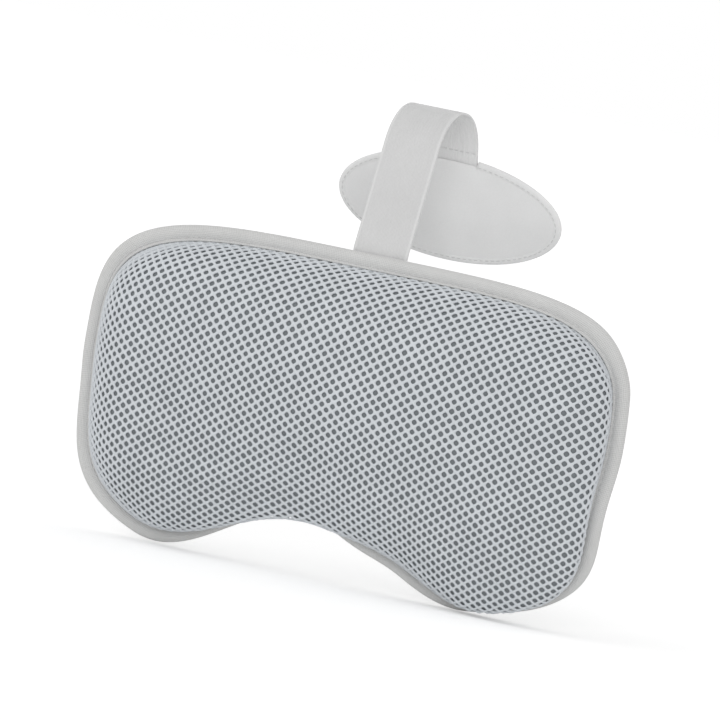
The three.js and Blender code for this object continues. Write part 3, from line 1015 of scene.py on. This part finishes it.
def rounded_line(points):
    """A line with its kinks eased over a short stretch."""
    even = even_lengths(points, BEND_STEP)
    reach = int(BEND_ROUNDING / BEND_STEP)
    before = 2 * even[:1] - even[reach:0:-1]
    after = 2 * even[-1:] - even[-2:-reach - 2:-1]
    padded = np.concatenate([before, even, after])
    window = np.hanning(2 * reach + 1)
    window /= window.sum()
    return np.stack([np.convolve(padded[:, k], window, "valid") for k in range(3)], 1)


def strap_section():
    """The webbing's closed section, as across and through: ribs on both faces, rounded edges."""
    half = STRAP_HALF_WIDTH
    x = np.linspace(-half + STRAP_EDGE, half - STRAP_EDGE, STRAP_POINTS)
    rib = STRAP_RIB_HEIGHT * np.cos(math.tau * x / STRAP_RIB_STEP)
    bead = BEAD_HEIGHT * bell((half - BEAD_HALF_WIDTH - np.abs(x)) / BEAD_HALF_WIDTH)
    face = STRAP_HALF_THICKNESS - STRAP_RIB_HEIGHT + rib + bead
    side = np.array([(half - inset, height) for inset, height in STRAP_SIDE])
    upper = np.stack([x, face], 1)
    return np.concatenate([upper, side, upper[::-1] * (1, -1), -side])


def strap_piece(name, line, node_names, caps):
    """One stretch of webbing that bends from one body to the next about a joint."""
    line = even_lengths(line, STRAP_STEP)
    tangent = unit(np.gradient(line, axis=0))
    through = np.stack([tangent[:, 0], -tangent[:, 2], tangent[:, 1]], 1)
    section = strap_section()
    grid = line[:, None] + section[:, :1] * X_AXIS + section[:, 1:] * through[:, None]
    piece = loft(name, grid, WEBBING, wrap_columns=True, caps=caps)
    # Faces on the strap's inner side take the lighter copy: painted light where the loop shades them
    piece.data.materials.append(PAINTED_LIGHT_WEBBING)
    painted_light_columns = range(STRAP_POINTS + len(STRAP_SIDE), len(section) - len(STRAP_SIDE))
    for number in range(len(line) - 1):
        for column in painted_light_columns:
            piece.data.polygons[number * len(section) + column].material_index = 1
    face_outward(piece)
    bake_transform(piece)
    if node_names:
        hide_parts(*node_names)
    return piece


def make_strap():
    """The webbing in four stretches, each across one joint, with its rows of stitches."""
    front_angle = loop_angle(FRONT_SHOULDER)
    rear_angle = loop_angle(REAR_SHOULDER)
    seam_angle = loop_angle(POUCH_SEAM)
    crown_angle = (front_angle + rear_angle) / 2
    rear_middle = (rear_angle + seam_angle) / 2
    front_middle = (PILLOW_SEAM + FRONT_SHOULDER) / 2
    tab_end = PILLOW_SEAM - np.array([0, 0, TAB_LENGTH])
    sewn = rounded_line(np.array([tab_end, PILLOW_SEAM, front_middle]))
    strap_piece(
        "strap_sewn_end", sewn,
        ("strap_anchor_tab", "strap_front_run"), (0,),
    )
    rise = np.concatenate([[front_middle], loop_arc(front_angle, crown_angle)])
    strap_piece(
        "strap_front_bend", rise,
        ("strap_crown",), (),
    )
    strap_piece(
        "strap_rear_bend", loop_arc(crown_angle, rear_middle),
        ("strap_rear_run",), (),
    )
    tuck = POUCH_SEAM + POUCH_DOWN * (NECK_LENGTH + TAB_TUCK)
    neck = np.concatenate([loop_arc(rear_middle, seam_angle), [tuck]])
    strap_piece(
        "strap_neck", neck,
        ("strap_pouch_tab",), (-1,),
    )
    across = np.linspace(-1, 1, STITCH_LINE_POINTS)[:, None] * X_AXIS * (STRAP_HALF_WIDTH - STITCH_EDGE_GAP)
    backward = np.array([0.0, 1.0, 0.0])
    for number, below in enumerate(TAB_STITCH_DROPS):
        place = PILLOW_SEAM - np.array([0, 0, below]) + backward * STRAP_HALF_THICKNESS
        row = stitches(f"tab_stitches_{number}", place + across, np.tile(backward, (len(across), 1)), THREAD)
        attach(row, "pillow")
    place = POUCH_SEAM + POUCH_DOWN * NECK_STITCH_DROP + POUCH_OUT * STRAP_HALF_THICKNESS
    row = stitches("neck_stitches", place + across, np.tile(POUCH_OUT, (len(across), 1)), THREAD)
    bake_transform(row)


# Pouch

def pouch_place(x, down, out):
    """Row-frame place of a point of the pouch: across, down from its middle and out of its front."""
    middle = POUCH_SEAM + POUCH_DOWN * (NECK_LENGTH + POUCH_HALF_HEIGHT)
    across, drop, rise = (np.asarray(part)[..., None] for part in (x, down, out))
    return middle + across * X_AXIS + drop * POUCH_DOWN + rise * POUCH_OUT


def pouch_ring(turn, inset, out, scale=1.0):
    """A ring of the pouch at a distance in from its edge."""
    x = (POUCH_HALF_WIDTH - inset) * scale * np.cos(turn)
    down = (POUCH_HALF_HEIGHT - inset) * scale * np.sin(turn)
    return pouch_place(x, down, out)


def make_pouch_panel(name, side, node_name):
    """One panel of the pouch, a little crowned, with its edge under the tape."""
    turn = np.arange(POUCH_POINTS) / POUCH_POINTS * math.tau
    rings = [pouch_ring(turn, inset, np.full(POUCH_POINTS, side * out)) for inset, out in POUCH_EDGE_RINGS]
    last_inset, last_out = POUCH_EDGE_RINGS[-1]
    for scale in POUCH_ROWS:
        flat = np.stack([np.cos(turn) * POUCH_HALF_WIDTH, np.sin(turn) * POUCH_HALF_HEIGHT], -1) * scale
        wander = POUCH_WANDER * smooth_noise(flat, POUCH_WANDER_SIZE, POUCH_SEED) * (1 - scale)
        out = last_out + POUCH_CROWN * (1 - scale**2) + wander
        rings.append(pouch_ring(turn, last_inset, side * out, scale))
    piece = loft(name, np.array(rings), POUCH_CLOTH_WITH_PAINTED_LIGHT, wrap_columns=True, caps=(-1,))
    face_along(piece, side * POUCH_OUT)
    piece.modifiers.new("smooth", "SUBSURF").levels = 1
    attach(piece, "pouch")
    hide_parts(node_name)


def make_pouch_tape():
    """The tape round the pouch, open at the top for the strap, with its rows of stitches."""
    start = math.acos(POUCH_TAPE_OPENING / POUCH_HALF_WIDTH)
    turn = np.linspace(-start, math.pi + start, POUCH_TURN_SAMPLES)
    line = np.stack([POUCH_HALF_WIDTH * np.cos(turn), POUCH_HALF_HEIGHT * np.sin(turn)], 1)
    reach = line_reach(line)
    turn = np.interp(np.linspace(0, reach[-1], POUCH_TAPE_POINTS), reach, turn)
    section = closed_curve(np.array(POUCH_TAPE_SECTION, float), SECTION_FINENESS)
    grid = np.stack([pouch_ring(turn, inset, np.full(len(turn), out)) for inset, out in section], 1)
    piece = face_outward(loft("pouch_tape", grid, POUCH_CLOTH_WITH_PAINTED_LIGHT, wrap_columns=True, caps=(0, -1)))
    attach(piece, "pouch")
    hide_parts("pouch_edge_tape")
    for name, side in (("pouch_stitches_front", 1), ("pouch_stitches_back", -1)):
        line = pouch_ring(turn, POUCH_STITCH_INSET, np.full(len(turn), side * POUCH_STITCH_HEIGHT))
        row = stitches(name, line, np.tile(side * POUCH_OUT, (len(line), 1)), THREAD)
        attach(row, "pouch")


# Stage

def make_stage():
    """Floor, light and camera."""
    low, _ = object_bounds()
    half = FLOOR_SIZE / 2
    level = low.z / MM - FLOOR_GAP
    corners = [(half * x, half * y, level) for x, y in FLOOR_CORNERS]
    floor = mesh_object("floor", corners, [(0, 1, 2, 3)], floor_material())
    for name, strength, angle, source, shadow in SUNS:
        lamp = bpy.data.lights.new(name, "SUN")
        lamp.energy = strength
        lamp.angle = angle
        lamp.use_shadow = shadow
        holder = bpy.data.objects.new(name, lamp)
        holder.rotation_euler = Vector(source).to_track_quat("Z", "Y").to_euler()
        bpy.context.collection.objects.link(holder)
    world = bpy.data.worlds.new("studio")
    world.use_nodes = True
    tree = world.node_tree
    tree.nodes.clear()
    strength = node(
        tree, "ShaderNodeMapRange", {"Value": seen_directly(tree), "To Min": WORLD_STRENGTH}
    ).outputs["Result"]
    sky = node(tree, "ShaderNodeBackground", {"Color": WHITE, "Strength": strength})
    out = node(tree, "ShaderNodeOutputWorld")
    tree.links.new(sky.outputs["Background"], out.inputs["Surface"])
    bpy.context.scene.world = world
    make_camera()
    bpy.context.scene.view_settings.view_transform = "Standard"


def make_camera():
    """A long lens at the photograph's viewing angle, rolled as the photograph is."""
    away = math.cos(VIEW_PITCH)
    back = np.array([math.sin(VIEW_YAW) * away, -math.cos(VIEW_YAW) * away, math.sin(VIEW_PITCH)])
    level = np.array([math.cos(VIEW_YAW), math.sin(VIEW_YAW), 0])
    upward = np.cross(back, level)
    right = math.cos(VIEW_ROLL) * level + math.sin(VIEW_ROLL) * upward
    up = math.cos(VIEW_ROLL) * upward - math.sin(VIEW_ROLL) * level
    eye = VIEW_ANCHOR + VIEW_SHIFT_RIGHT * right + VIEW_SHIFT_UP * up + VIEW_DISTANCE * back
    lens = bpy.data.cameras.new("camera")
    lens.sensor_width = SENSOR_WIDTH
    lens.lens = SENSOR_WIDTH * VIEW_DISTANCE / VIEW_WIDTH
    lens.clip_end = CLIP_END_METRES
    camera = bpy.data.objects.new("camera", lens)
    turn = Matrix(np.stack([right, up, back], 1).tolist()).to_4x4()
    camera.matrix_world = Matrix.Translation(Vector(eye * MM)) @ turn
    bpy.context.collection.objects.link(camera)
    bpy.context.scene.camera = camera


PILLOW_TURNS = even_turns(OUTLINE_POINTS)
pad_front, pad_pole = make_cushion(PILLOW_TURNS)
make_mesh_front(pad_front, pad_pole, PILLOW_TURNS)
make_binding()
make_back()
make_strap()
make_pouch_panel("pouch_front", 1, "pouch_front_panel")
make_pouch_panel("pouch_back", -1, "pouch_back_panel")
make_pouch_tape()
plate = frame["nodes"]["counterweight_plate"]
plate.data.materials.clear()
plate.data.materials.append(steel_material())
make_stage()
